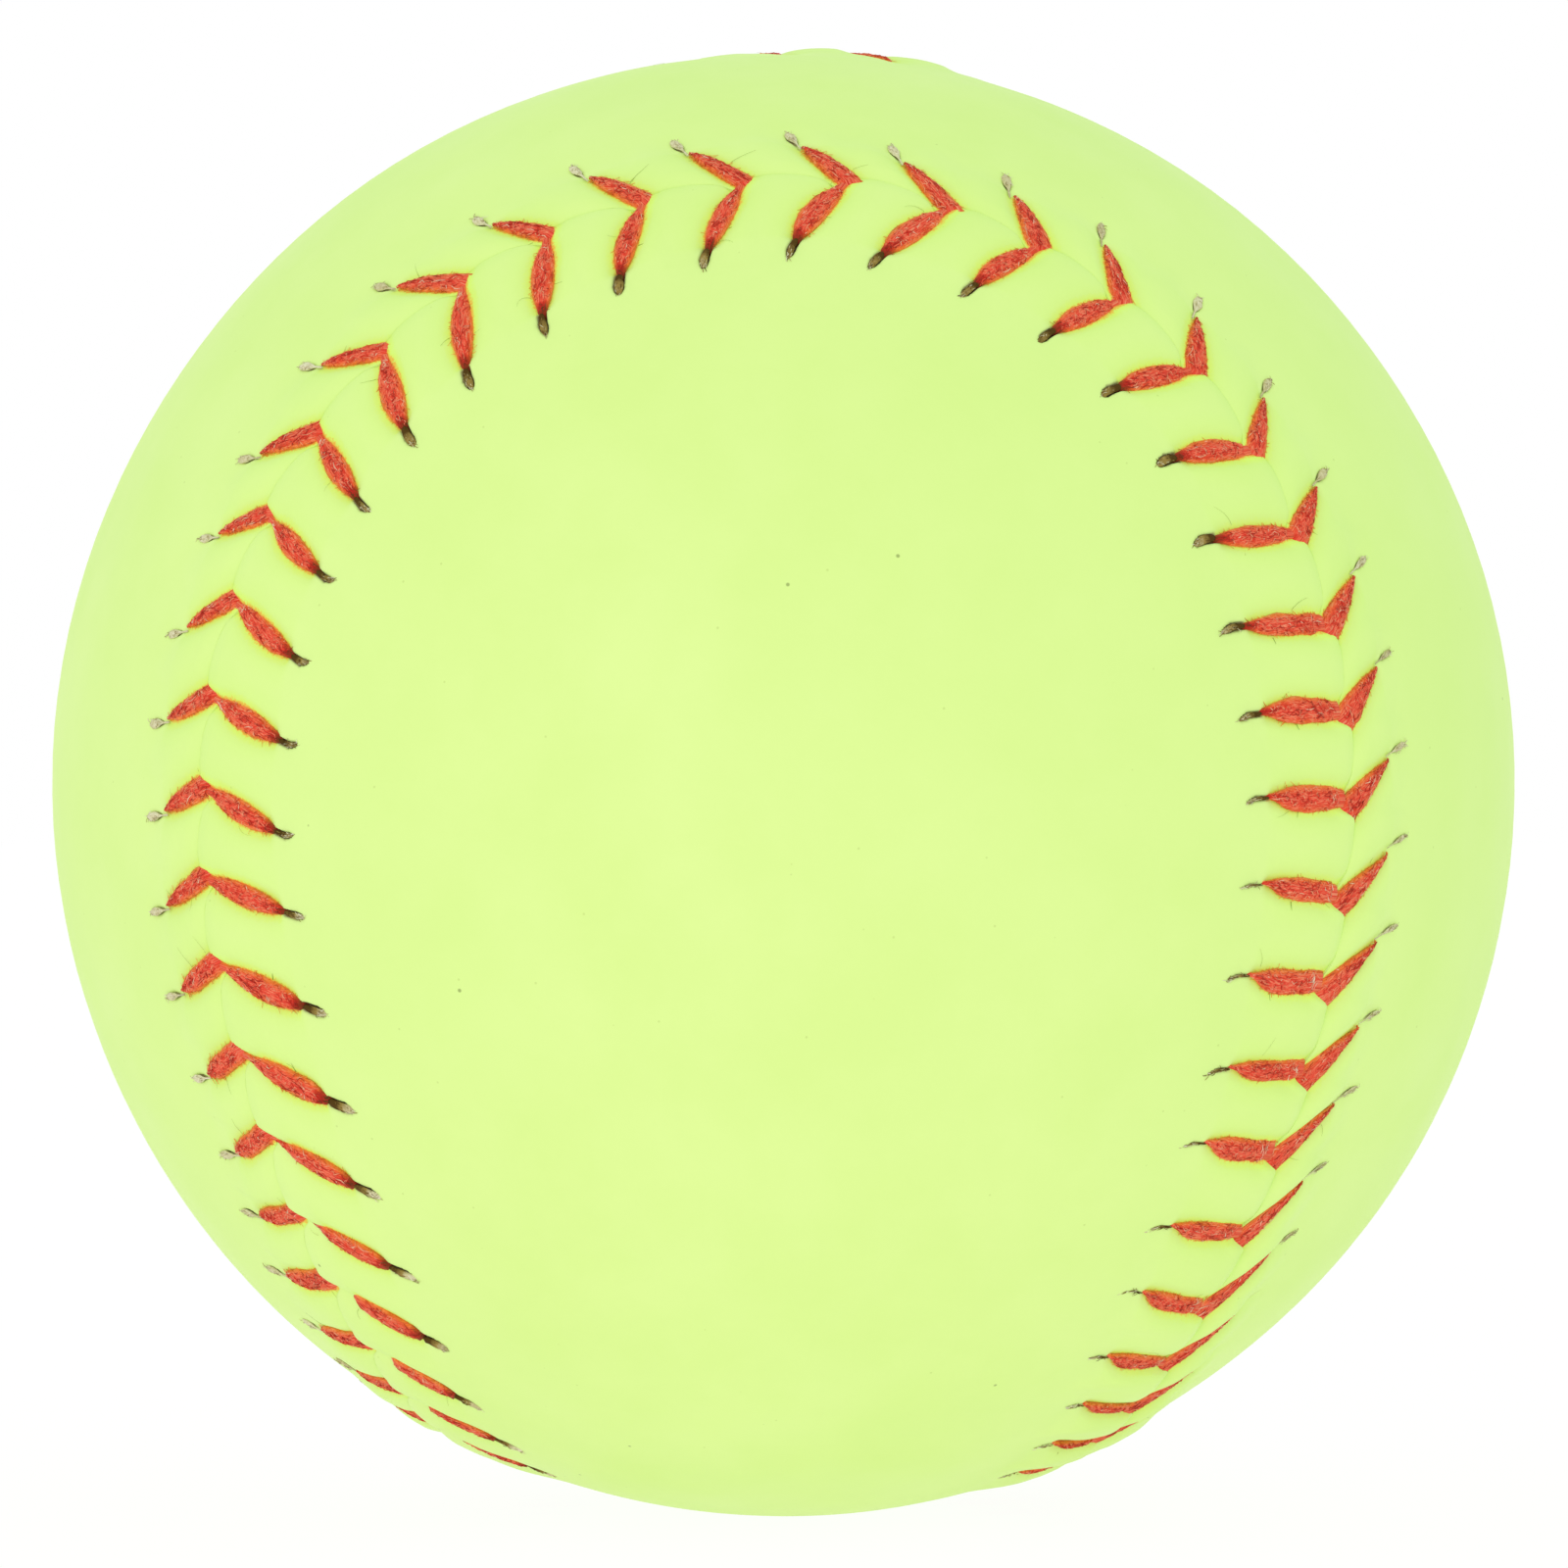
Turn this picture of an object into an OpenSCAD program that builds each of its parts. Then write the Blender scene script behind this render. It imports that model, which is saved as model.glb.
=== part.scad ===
// Softball, built in layers: core, wound yarn, cement, two cover panels with
// their backings, and the two threads that sew the panels together.
// The origin is the centre of the ball, +Z is up and the front faces -Y.

/* [Ball] */
// Outside diameter of the cover, for a ball 12 inches around
ball_d = 97; // [94:0.5:104]
// Thickness of the yarn wound on the core
winding_t = 8; // [5:0.5:12]
// Thickness of the cement coat over the yarn
cement_t = 0.3; // [0.2:0.05:0.6]
// Thickness of the padded backing under each cover panel
backing_t = 1.4; // [1.3:0.1:2.4]
// Thickness of the synthetic leather
leather_t = 1.2; // [0.8:0.1:2]
// Play between two layers that are glued together
bond_gap = 0.05; // [0.02:0.01:0.1]

/* [Seam line] */
// How far the seam swings up and down the ball, in degrees
swing_angle = 66.3; // [62:0.1:68]
// Third harmonic of that swing, in degrees
swing_third_angle = -3.6; // [-4.5:0.1:-2.5]
// How far the seam sways along the equator, in degrees
sway_angle = 27.4; // [25:0.1:29]
// Second harmonic of the sway, in degrees
sway_second_angle = -4.2; // [-5:0.1:-3]
// Third harmonic of the sway, in degrees
sway_third_angle = 0.8; // [0:0.1:1.5]
// Turn of the seam about X, in degrees
turn_x_angle = -15; // [-180:1:180]
// Turn of the seam about Y, in degrees
turn_y_angle = 12.1; // [-180:0.1:180]
// Turn of the seam about Z, in degrees
turn_z_angle = -137.7; // [-180:0.1:180]

/* [Cover panels] */
// How far the panels meet off the middle of the two rows of holes
lap = 1.4; // [0:0.1:2]
// Gap between the edges of the two panels
edge_gap = 0.3; // [0.2:0.05:0.6]
// Distance from the middle of the seam to the edge of each backing
backing_in = 7.6; // [7.4:0.1:9]
// Height of the pucker between two stitches
pucker_h = 0.45; // [0.3:0.05:0.6]
// Radius of the pucker where it leaves the ball
pucker_r = 1.7; // [1.2:0.1:1.9]
// Distance from the panel's edge to the middle of a pucker
pucker_in = 3; // [2.6:0.1:4]

/* [Stitches] */
// Stitches in each panel, an even number
stitch_count = 88; // [80:2:92]
// Where the first stitch lies, as a share of a stitch
stitch_phase_share = 0.7; // [0:0.05:1]
// Distance from the middle of the seam to each row of holes
hole_row = 6.6; // [6:0.1:7]
// How far a hole in the first panel lies behind its stitch
lead_a = 4; // [3.4:0.1:4.4]
// How far a hole in the second panel lies behind its stitch
lead_b = 3.4; // [3:0.1:3.8]
// How far the second thread dives behind the first
dive_step = 1.3; // [1.2:0.05:1.6]
// Diameter of the thread where it is pulled tight
thread_d = 0.85; // [0.7:0.05:0.9]
// Diameter of the thread in the middle of a stitch
leg_d = 1.4; // [1:0.1:1.5]
// Where a stitch is thick first, as a share of its length
leg_start_share = 0.3; // [0.2:0.05:0.4]
// Where a stitch is thick last, as a share of its length
leg_end_share = 0.6; // [0.5:0.05:0.65]
// Play between the thread and what it passes
thread_gap = 0.1; // [0.05:0.01:0.15]

/* [Hidden] */

leather_col = "#e1fa98";
backing_col = "#e9e4d4";
cement_col = "#d8c69a";
yarn_col = "#d9d6cc";
core_col = "#9a6f48";
thread_col = "#d8653b";

ball_r = ball_d / 2;
leather_r = ball_r - leather_t;
backing_r = leather_r - bond_gap;
bed_r = backing_r - backing_t;
cement_r = bed_r - bond_gap;
yarn_r = cement_r - cement_t;
yarn_bore_r = yarn_r - winding_t;
core_r = yarn_bore_r - bond_gap;
thread_r = thread_d / 2;
leg_r = leg_d / 2;
hole_r = thread_r + thread_gap;
notch_r = dive_step / 2 + thread_r + thread_gap;
pucker_ball_r = (pucker_r * pucker_r + pucker_h * pucker_h) / (2 * pucker_h);
under_r = (leather_r + bed_r) / 2;
cone_share = 1.4;
cone_r = cone_share * ball_r;
overrun = 1;
tube_sides = 5;
run_steps = 720;
panel_steps = 88;
quarter_turn_angle = 90;
half_turn_angle = 180;
probe_angle = 0.5;
fine_sides = 96;
coarse_sides = 24;

function unit(v) = v / norm(v);

// Direction of the seam's middle at turn t, from 0 to 360 degrees
function seam_at(t) =
    let (up = swing_angle * sin(2 * t) + swing_third_angle * sin(6 * t),
         round = t - sway_angle * sin(4 * t) - sway_second_angle * sin(8 * t)
             - sway_third_angle * sin(12 * t))
    [cos(up) * cos(round), cos(up) * sin(round), sin(up)];

function seam_along(t) = unit(seam_at(t + probe_angle) - seam_at(t - probe_angle));

// Direction of a point that lies across the seam by a distance, towards the first panel
function seam_beside(t, across) =
    let (middle = seam_at(t), turn = across / ball_r * 180 / PI)
    middle * cos(turn) + cross(middle, seam_along(t)) * sin(turn);

// Length of the seam up to each turn, on a ball of radius 1
seam_run = [for (i = 0, s = 0; i <= run_steps;
                 s = s + norm(seam_at((i + 1) * 360 / run_steps) - seam_at(i * 360 / run_steps)), i = i + 1)
            [s, i * 360 / run_steps]];
seam_length = seam_run[run_steps][0] * ball_r;
stitch_pitch = seam_length / stitch_count;

function turn_at(distance) = lookup(((distance + seam_length) % seam_length) / ball_r, seam_run);

function place(stitch, back, across) =
    seam_beside(turn_at((stitch + stitch_phase_share) * stitch_pitch - back), across);
function hole_at(stitch, side) = place(stitch, side > 0 ? lead_a : lead_b, side * hole_row);
function dive_at(stitch, side) = place(stitch, side > 0 ? 0 : dive_step, lap);

module aim(direction) {
    rotate([0, acos(direction[2]), atan2(direction[1], direction[0])]) children();
}

module turned() {
    rotate([turn_x_angle, turn_y_angle, turn_z_angle]) children();
}

module shell(outer_r, inner_r) {
    difference() {
        sphere(outer_r, $fn = fine_sides);
        sphere(inner_r, $fn = fine_sides);
    }
}

// What a needle takes out of the leather, to be aimed at a point of the ball
module punch(radius) {
    translate([0, 0, leather_r - overrun]) cylinder(leather_t + 2 * overrun, r = radius, $fn = coarse_sides);
}

// A solid cone from the ball's centre that holds the first panel's side of the seam,
// drawn in from the seam's middle by a distance
module panel_cone(inset) {
    start = -quarter_turn_angle / 2;
    step = half_turn_angle / panel_steps;
    near = [for (i = [1:panel_steps - 1]) cone_r * seam_beside(start + i * step, inset)];
    far = [for (i = [1:panel_steps - 1]) cone_r * seam_beside(start - i * step, inset)];
    spine = [for (i = [0:panel_steps - 2]) cone_r * unit(near[i] + far[i])];
    tips = [cone_r * seam_beside(start, inset), cone_r * seam_beside(start + half_turn_angle, inset)];
    rows = panel_steps - 1;
    first = 3 * rows;
    last = first + 1;
    centre = last + 1;
    faces = [
        for (i = [0:rows - 2]) each [
            [i + 1, i, rows * 2 + i + 1], [rows * 2 + i + 1, i, rows * 2 + i],
            [rows * 2 + i + 1, rows * 2 + i, rows + i + 1], [rows + i + 1, rows * 2 + i, rows + i],
            [i + 1, centre, i], [rows + i, centre, rows + i + 1]
        ],
        [0, first, rows * 2], [rows * 2, first, rows], [0, centre, first], [first, centre, rows],
        [rows * 3 - 1, last, rows - 1], [rows * 2 - 1, last, rows * 3 - 1],
        [last, centre, rows - 1], [rows * 2 - 1, centre, last]
    ];
    polyhedron(points = concat(near, far, spine, tips, [[0, 0, 0]]), faces = faces);
}

// The second panel's side is the first one's, turned over about X
module side_cone(side, inset) {
    if (side > 0) panel_cone(inset);
    else rotate([180, 0, 0]) panel_cone(inset);
}

module backing(side) {
    turned() intersection() {
        shell(backing_r, bed_r);
        side_cone(side, backing_in);
    }
}

module cover(side) {
    pucker_back = (side > 0 ? lead_a : lead_b) / 2 - stitch_pitch / 2;
    turned() intersection() {
        difference() {
            union() {
                sphere(ball_r, $fn = fine_sides);
                for (i = [0:stitch_count - 1])
                    aim(place(i, pucker_back, lap + side * pucker_in))
                        translate([0, 0, ball_r + pucker_h - pucker_ball_r])
                            sphere(pucker_ball_r, $fn = coarse_sides);
            }
            sphere(leather_r, $fn = fine_sides);
            for (i = [0:stitch_count - 1]) {
                aim(hole_at(i, side))
                    punch(hole_r);
                aim(place(i, dive_step / 2, lap))
                    punch(notch_r);
            }
        }
        side_cone(side, side * lap + edge_gap / 2);
    }
}

// One row per ring of the thread: its centre, its sideways direction and its radius
function thread_rows(which) = [
    for (i = [0:stitch_count - 1])
        let (side = (i + which) % 2 == 0 ? 1 : -1,
             flip = i % 2 == 0 ? 1 : -1,
             hole = hole_at(i, side),
             dive = dive_at(i, side),
             under = flip * unit(cross(dive_at(i - 1, -side), hole)),
             over = -flip * unit(cross(hole, dive)),
             next = -flip * unit(cross(dive, hole_at(i + 1, -side))),
             low_r = ball_r + thread_r + thread_gap,
             high_r = ball_r + leg_r + thread_gap)
        each [
            [hole * under_r, under, thread_r],
            [hole * low_r, over, thread_r],
            for (share = [leg_start_share, leg_end_share])
                [unit((1 - share) * hole + share * dive) * high_r, over, leg_r],
            [dive * low_r, over, thread_r],
            [dive * under_r, next, thread_r]
        ]
];

module thread(which) {
    rows = thread_rows(which);
    count = len(rows);
    points = [
        for (i = [0:count - 1])
            let (here = rows[i],
                 ahead = unit(rows[(i + 1) % count][0] - here[0]),
                 behind = unit(here[0] - rows[(i + count - 1) % count][0]),
                 tangent = unit(ahead + behind),
                 out = unit(cross(here[1], tangent)),
                 wide = cross(tangent, out))
            for (k = [0:tube_sides - 1])
                here[0] + here[2] * (cos(360 * k / tube_sides) * out + sin(360 * k / tube_sides) * wide)
    ];
    faces = [
        for (i = [0:count - 1], k = [0:tube_sides - 1])
            let (j = (i + 1) % count, m = (k + 1) % tube_sides)
            each [[i * tube_sides + m, i * tube_sides + k, j * tube_sides + m],
                  [j * tube_sides + m, i * tube_sides + k, j * tube_sides + k]]
    ];
    turned() polyhedron(points = points, faces = faces);
}

module core() {
    color(core_col) sphere(core_r, $fn = fine_sides);
}

module yarn_winding() {
    color(yarn_col) shell(yarn_r, yarn_bore_r);
}

module cement_coat() {
    color(cement_col) shell(cement_r, yarn_r);
}

module backing_a() {
    color(backing_col) backing(1);
}

module backing_b() {
    color(backing_col) backing(-1);
}

module cover_a() {
    color(leather_col) cover(1);
}

module cover_b() {
    color(leather_col) cover(-1);
}

module thread_a() {
    color(thread_col) thread(0);
}

module thread_b() {
    color(thread_col) thread(1);
}

core();
yarn_winding();
cement_coat();
backing_a();
backing_b();
cover_a();
cover_b();
thread_a();
thread_b();
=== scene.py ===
"""Softball: dressed with two leather panels, two sewing threads and the felt at the needle holes.

Lengths are millimetres on a ball round the origin; place() turns them into metres in the CAD
frame. A point near the seam is given by its run along the seam, its distance across it and its
height over the ball. Across is positive towards the first panel, which is side 1 here; the
second panel is side -1. A stitch has a leg on each panel, from a hole to the joint between them.
"""
import math

import bpy
import numpy as np
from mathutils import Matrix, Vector


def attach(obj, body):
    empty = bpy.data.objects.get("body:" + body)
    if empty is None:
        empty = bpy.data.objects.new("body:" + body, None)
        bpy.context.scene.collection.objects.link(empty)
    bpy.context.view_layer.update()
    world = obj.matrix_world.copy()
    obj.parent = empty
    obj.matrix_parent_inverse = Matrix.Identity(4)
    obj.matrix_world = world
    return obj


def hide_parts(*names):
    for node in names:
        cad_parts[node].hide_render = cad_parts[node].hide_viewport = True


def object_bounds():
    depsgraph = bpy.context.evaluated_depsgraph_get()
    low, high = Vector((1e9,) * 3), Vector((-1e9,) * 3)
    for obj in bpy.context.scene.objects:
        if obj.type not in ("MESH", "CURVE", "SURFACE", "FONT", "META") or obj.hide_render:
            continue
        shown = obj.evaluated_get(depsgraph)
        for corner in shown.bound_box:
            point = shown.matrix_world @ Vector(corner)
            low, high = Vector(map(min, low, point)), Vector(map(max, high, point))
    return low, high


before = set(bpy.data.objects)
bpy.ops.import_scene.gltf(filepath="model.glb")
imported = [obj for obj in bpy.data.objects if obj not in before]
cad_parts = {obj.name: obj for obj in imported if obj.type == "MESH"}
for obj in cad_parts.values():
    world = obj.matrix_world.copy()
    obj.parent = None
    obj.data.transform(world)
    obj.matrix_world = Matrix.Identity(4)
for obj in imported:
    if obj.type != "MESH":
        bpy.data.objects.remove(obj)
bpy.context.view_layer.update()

MM = 0.001
FULL = 2 * math.pi

# Sizes, as in part.scad
BALL = 48.5
LEATHER = 1.2
STITCHES = 88
SWING = 66.3  # degrees that the seam swings up and down, and its finer waves
SWING_THIRD = -3.6
SWAY = 27.4
SWAY_SECOND = -4.2
SWAY_THIRD = 0.8
TURN_XYZ = (-15.0, 12.1, -137.7)
PHASE = 0.7  # pitches from the start of the seam to the first tip

# Hand sewing: how the stitches drift from even ones, as pairs of stitch number and mm.
# Chosen against the photograph; out of its sight the seam is nearly even.
TIP_AHEAD = (
    (-16, 0), (-8, 2.4), (-5, 2.6), (-2, 1.7), (1, 0.4), (3, -0.7), (5, -1.1), (9, -0.9), (12, -0.3),
    (16, -0.5), (18, -0.9), (20, -2.0), (24, -3.4), (28, -3.3), (31, -2.4), (40, 0), (60, 0))
TIP_OFF = (
    (-16, 1.6), (-4, 1.2), (-1, 1.6), (6, 1.6), (9, 1.2), (12, 1.4), (15, 1.6), (18, 1.6), (21, 1.2),
    (25, 1.6), (34, 1.6), (50, 1.3), (60, 1.3))
# How far the holes of each panel lie behind their tip, and off the middle of the seam
HOLE_BEHIND = {
    1: ((-16, 3.7), (-6, 3.1), (-4, 2.8), (-1, 3.2), (2, 3.3), (5, 4.0), (8, 3.6), (12, 4.5),
        (17, 3.9), (21, 4.5), (24, 5.3), (27, 6.0), (31, 5.0), (40, 3.9), (60, 3.9)),
    -1: ((-16, 3.7), (-6, 5.0), (-3, 4.1), (0, 3.3), (2, 3.5), (3.5, 3.0), (6, 4.5), (8, 4.4),
         (11, 3.9), (13, 3.0), (17, 2.6), (20, 1.7), (23, 1.8), (25, 2.8), (27, 4.3), (29, 4.5),
         (36, 3.7), (60, 3.7))}
HOLE_OFF = {
    1: ((-16, 6.4), (-5, 6.9), (-3, 6.2), (0, 7.0), (2, 6.8), (4, 6.4), (9, 6.3), (12, 5.9),
        (14, 6.4), (30, 6.5), (40, 6.2), (55, 5.9), (64, 6.4)),
    -1: ((-16, 6.4), (-6, 5.8), (-4, 6.8), (-1, 7.2), (1, 6.6), (4, 6.0), (6, 6.4), (8, 6.8),
         (10, 6.4), (13, 5.7), (16, 6.1), (18, 6.9), (21, 7.2), (23, 6.8), (26, 6.3), (36, 6.4))}
JITTER_TIP = 0.1
JITTER_HOLE = 0.2
JITTER_ROW = 0.12
# Stitches drawn in near the foot: number, how far along, how far inwards on the second panel
DRAWN_IN = ((27, -0.1, 0.4), (28, -0.5, 1.6), (29, -1.2, 2.0), (30, -1.3, 2.0), (31, -0.6, 0.8))
# Legs that are fatter or thinner there: number, first panel's share, second panel's share
FOOT_LEGS = ((25, 1.1, 0.95), (26, 1.2, 0.9), (27, 1.25, 0.8), (28, 1.25, 0.55),
             (29, 1.0, 0.4), (30, 1.0, 0.5), (31, 1.0, 0.8))
# Where the middle of each leg meets the joint, from the tip: along and across
END_BACK = {1: 0.6, -1: 1.05}
END_DROP = {1: 0.5, -1: 1.35}
END_BACK_SLIT = 0.45  # more of it where the sewing was pulled harder
# How far the outer end of the second panel's holes bends away, by stitch number
HOLE_BENDS = ((0, 0.1), (1, 0.42), (3, 0.48), (4.5, 0.3), (6, 0.15), (13, 0.12), (16, 0.3),
              (20, 0.35), (33, 0.3), (40, 0.15), (60, 0.1), (88, 0.05))
# and how pale the felt is there
PALE_ENDS = ((0, 0.3), (4, 0.2), (6, 0), (14, 0), (17, 0.3), (70, 0.3), (77, 0.55), (87, 0.55))


def unit(v):
    return v / np.linalg.norm(v, axis=-1, keepdims=True)


def smooth(lo, hi, x):
    """0 below lo, 1 above hi, and an easy slope between."""
    x = np.clip((x - lo) / (hi - lo), 0, 1)
    return x * x * (3 - 2 * x)


def hill(x, middle, width, power=2):
    """1 at the middle and nothing far from it; a higher power has a flatter top."""
    return np.exp(-((x - middle) / width) ** power)


def through(pairs, x):
    """Value at x on the straight pieces through pairs of place and value."""
    return np.interp(x, *zip(*pairs))


def drift(pairs):
    """One value per stitch from pairs of stitch number and value, round the closed seam."""
    return np.interp(np.arange(STITCHES), *zip(*pairs), period=STITCHES)


def cyclic(values, u):
    """Smooth curve through one value per stitch, round the closed seam."""
    i = np.floor(u).astype(int)
    f = u - i
    p0, p1, p2, p3 = (values[(i + k) % len(values)] for k in (-1, 0, 1, 2))
    return p1 + 0.5 * f * (p2 - p0 + f * (2 * p0 - 5 * p1 + 4 * p2 - p3 + f * (3 * (p1 - p2) + p3 - p0)))


# The seam on the ball
def seam_point(t):
    up = np.radians(SWING * np.sin(2 * t) + SWING_THIRD * np.sin(6 * t))
    turn = t - np.radians(SWAY * np.sin(4 * t) + SWAY_SECOND * np.sin(8 * t) + SWAY_THIRD * np.sin(12 * t))
    return np.stack([np.cos(up) * np.cos(turn), np.cos(up) * np.sin(turn), np.sin(up)], -1)


TURNS = np.linspace(0, FULL, 7201)
RUN = np.concatenate([[0], np.cumsum(np.linalg.norm(np.diff(seam_point(TURNS), axis=0), axis=1))]) * BALL
SEAM = RUN[-1]
PITCH = SEAM / STITCHES


def turned():
    x, y, z = np.radians(TURN_XYZ)
    rx = np.array([[1, 0, 0], [0, math.cos(x), -math.sin(x)], [0, math.sin(x), math.cos(x)]])
    ry = np.array([[math.cos(y), 0, math.sin(y)], [0, 1, 0], [-math.sin(y), 0, math.cos(y)]])
    rz = np.array([[math.cos(z), -math.sin(z), 0], [math.sin(z), math.cos(z), 0], [0, 0, 1]])
    return rz @ ry @ rx


TURN = turned()


def place(run, across, height):
    """Points in the CAD frame, in metres."""
    run, across, height = np.broadcast_arrays(run, across, height)
    t = np.interp(np.mod(run, SEAM), RUN, TURNS)
    probe = 0.002
    middle = seam_point(t)
    beside = np.cross(middle, unit(seam_point(t + probe) - seam_point(t - probe)))
    w = (across / BALL)[..., None]
    out = (middle * np.cos(w) + beside * np.sin(w)) * (BALL + height)[..., None]
    return out @ TURN.T * MM


# The stitches, one value each; runs are counted over number * PITCH
rng = np.random.default_rng(12)
NUMBER = np.arange(STITCHES)
TIP_RUN = PHASE * PITCH + drift(TIP_AHEAD)
HOLE_RUN = {s: TIP_RUN - drift(HOLE_BEHIND[s]) + rng.normal(0, JITTER_HOLE, STITCHES) for s in (1, -1)}
TIP_RUN = TIP_RUN + rng.normal(0, JITTER_TIP, STITCHES)
TIP_ACROSS = drift(TIP_OFF) + rng.normal(0, JITTER_TIP, STITCHES)
HOLE_ACROSS = {s: s * (drift(HOLE_OFF[s]) + rng.normal(0, JITTER_ROW, STITCHES)) for s in (1, -1)}
for number, along, inwards in DRAWN_IN:
    TIP_RUN[number] += along
    HOLE_RUN[1][number] += along
    HOLE_RUN[-1][number] += along
    HOLE_ACROSS[-1][number] += inwards
END_RUN = {s: TIP_RUN - END_BACK[s] for s in (1, -1)}
END_ACROSS = {s: TIP_ACROSS - END_DROP[s] for s in (1, -1)}
FAT = {s: rng.uniform(0.86, 1.08, STITCHES) for s in (1, -1)}
BOW = {1: rng.normal(-0.14, 0.07, STITCHES), -1: rng.normal(0.0, 0.08, STITCHES)}

# Down the right side the sewing was pulled harder: legs end wide at the joint, holes are slits.
# At its foot the first panel's holes are closed, and the second panel's are thin and pale.
PULLED = hill(NUMBER, middle=23.0, width=8.0)
SLIT = smooth(16, 22, NUMBER) * (1 - smooth(31, 36, NUMBER))
FOOT = hill(NUMBER, middle=29.5, width=3.0, power=8)
# Low on the left the legs are full by their holes and thin by the joint, and the second
# panel's legs dip below the leather there
HEAVY = hill(NUMBER, middle=82.0, width=5.5, power=4)
SUNK = hill(NUMBER, middle=79.0, width=5.5, power=4)
# On the left the second panel's holes are short
SHORT = hill(NUMBER, middle=2.0, width=3.0, power=4)

END_RUN[-1] -= END_BACK_SLIT * SLIT
HOLE_SHORT = {1: np.ones(STITCHES), -1: 1 - 0.28 * SHORT}
HOLE_FAT = {1: 1 - 0.4 * SLIT + rng.normal(0, 0.06, STITCHES),
            -1: 1.12 - 0.8 * SLIT + rng.normal(0, 0.08, STITCHES)}
HOLE_FAT[-1] = HOLE_FAT[-1] * (1 - 0.4 * FOOT) * HOLE_SHORT[-1]
HOLE_OPEN = {1: 1 - 0.9 * FOOT, -1: 1 - 0.5 * FOOT}
HOLE_BEND = {1: np.zeros(STITCHES), -1: through(HOLE_BENDS, NUMBER)}
PALE_END = {1: np.zeros(STITCHES), -1: through(PALE_ENDS, NUMBER) + 0.5 * FOOT}
FAT[1] *= 1 + 0.18 * SUNK
for number, first, second in FOOT_LEGS:
    FAT[1][number] *= first
    FAT[-1][number] *= second
BLUNT = 0.36 * PULLED * np.where((NUMBER > 26) & (NUMBER < 32), 0.4, 1) + rng.normal(0, 0.05, STITCHES)

# The joint between the panels from one tip to the next: share of the run, drop
JOINT_DROPS = ((0, 0), (0.16, 0.02), (0.32, 0.12), (0.48, 0.27), (0.61, 0.5), (0.71, 0.8), (0.785, 1.2),
               (0.84, 1.24), (0.887, 1.04), (0.911, 0.8), (0.952, 0.4), (0.976, 0.14), (1, 0))
FINE = np.linspace(0, 1, 513)


def joint_table():
    """The drops at FINE, with their corners rounded."""
    reach, spread = 24, 7.0
    drops = through(JOINT_DROPS, FINE)[:-1]
    kernel = np.exp(-0.5 * (np.arange(-reach, reach + 1) / spread) ** 2)
    wrapped = np.concatenate([drops[-reach:], drops, drops[:reach]])
    rounded = np.convolve(wrapped, kernel / kernel.sum(), "valid")
    return np.append(rounded, rounded[0])


JOINT_TABLE = joint_table()
COUNT_AT = np.linspace(-2, STITCHES + 2, (STITCHES + 4) * 32 + 1)
RUN_AT = COUNT_AT * PITCH + cyclic(TIP_RUN, COUNT_AT)


def stitch_at(run):
    """Stitch number of a run along the seam, counted from tip to tip."""
    shifted = np.mod(run - RUN_AT[0] - PITCH, SEAM) + RUN_AT[0] + PITCH
    return np.interp(shifted, RUN_AT, COUNT_AT)


def joint(run):
    """How far the joint lies off the middle of the seam."""
    u = stitch_at(run)
    return cyclic(TIP_ACROSS, u) - np.interp(u - np.floor(u), FINE, JOINT_TABLE)


# Places along the seam that differ, as stitch number, width and weight
CALM = ((51.9, 1.4, 1.0), (57.1, 2.3, 1.0), (54.0, 0.6, -0.4))  # the cover lies flat, its legs sink
SWOLLEN = ((25.5, 5.5, 0.6),)
QUIET = ((86.0, 6.0, 0.65), (-2.0, 6.0, 0.65), (22.5, 9.0, 0.82))  # the joint hardly shows


def local(places, u):
    return sum(weight * hill(u, middle, width, 4) for middle, width, weight in places)


# Shape of a leg, as pairs of its share from hole to joint and a length
LEG_FIRST = {1: 0.20, -1: 0.16}  # share at which it comes out of the hole
LEG_HALF = {
    1: ((0.19, 0.03), (0.25, 0.13), (0.30, 0.24), (0.40, 0.42), (0.49, 0.55), (0.66, 0.64), (0.82, 0.73),
        (0.92, 0.76), (1.0, 0.78)),
    -1: ((0.09, 0.22), (0.137, 0.27), (0.20, 0.37), (0.257, 0.49), (0.34, 0.65), (0.437, 0.77), (0.55, 0.83),
         (0.65, 0.83), (0.76, 0.75), (0.854, 0.62), (0.93, 0.45), (0.97, 0.36), (1.0, 0.34))}
LEG_RISE = {
    1: ((0.2, -0.12), (0.3, -0.09), (0.5, -0.08), (0.8, -0.08), (1.0, -0.12)),
    -1: ((0.1, -0.2), (0.22, -0.12), (0.45, -0.08), (0.75, -0.08), (0.92, -0.10), (1.0, -0.16))}
LEG_THICK = {
    1: ((0.2, 0.05), (0.34, 0.20), (0.6, 0.27), (1.0, 0.23)),
    -1: ((0.1, 0.14), (0.25, 0.23), (0.5, 0.28), (0.8, 0.25), (1.0, 0.20))}
LEG_CALM = 0.3  # how far legs sink where the cover is calm
LEG_SUNK = 0.5  # and the ends that dip low on the left
LEG_LONG = {1: 6.2, -1: 7.2}  # usual length, for sizes along a leg
LEG_MEAN = 6.7


def leg_line(side, j, share):
    """Middle of leg j at a share of the way from its hole (0) to the joint (1)."""
    straight = HOLE_RUN[side][j] + (END_RUN[side][j] - HOLE_RUN[side][j]) * share
    run = straight + BOW[side][j] * np.sin(math.pi * np.clip(share, 0, 1))
    if side < 0:
        run = run - 0.2 * SLIT[j] * (1 - smooth(0.15, 0.45, share))
    return run, HOLE_ACROSS[side][j] + (END_ACROSS[side][j] - HOLE_ACROSS[side][j]) * share


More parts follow.
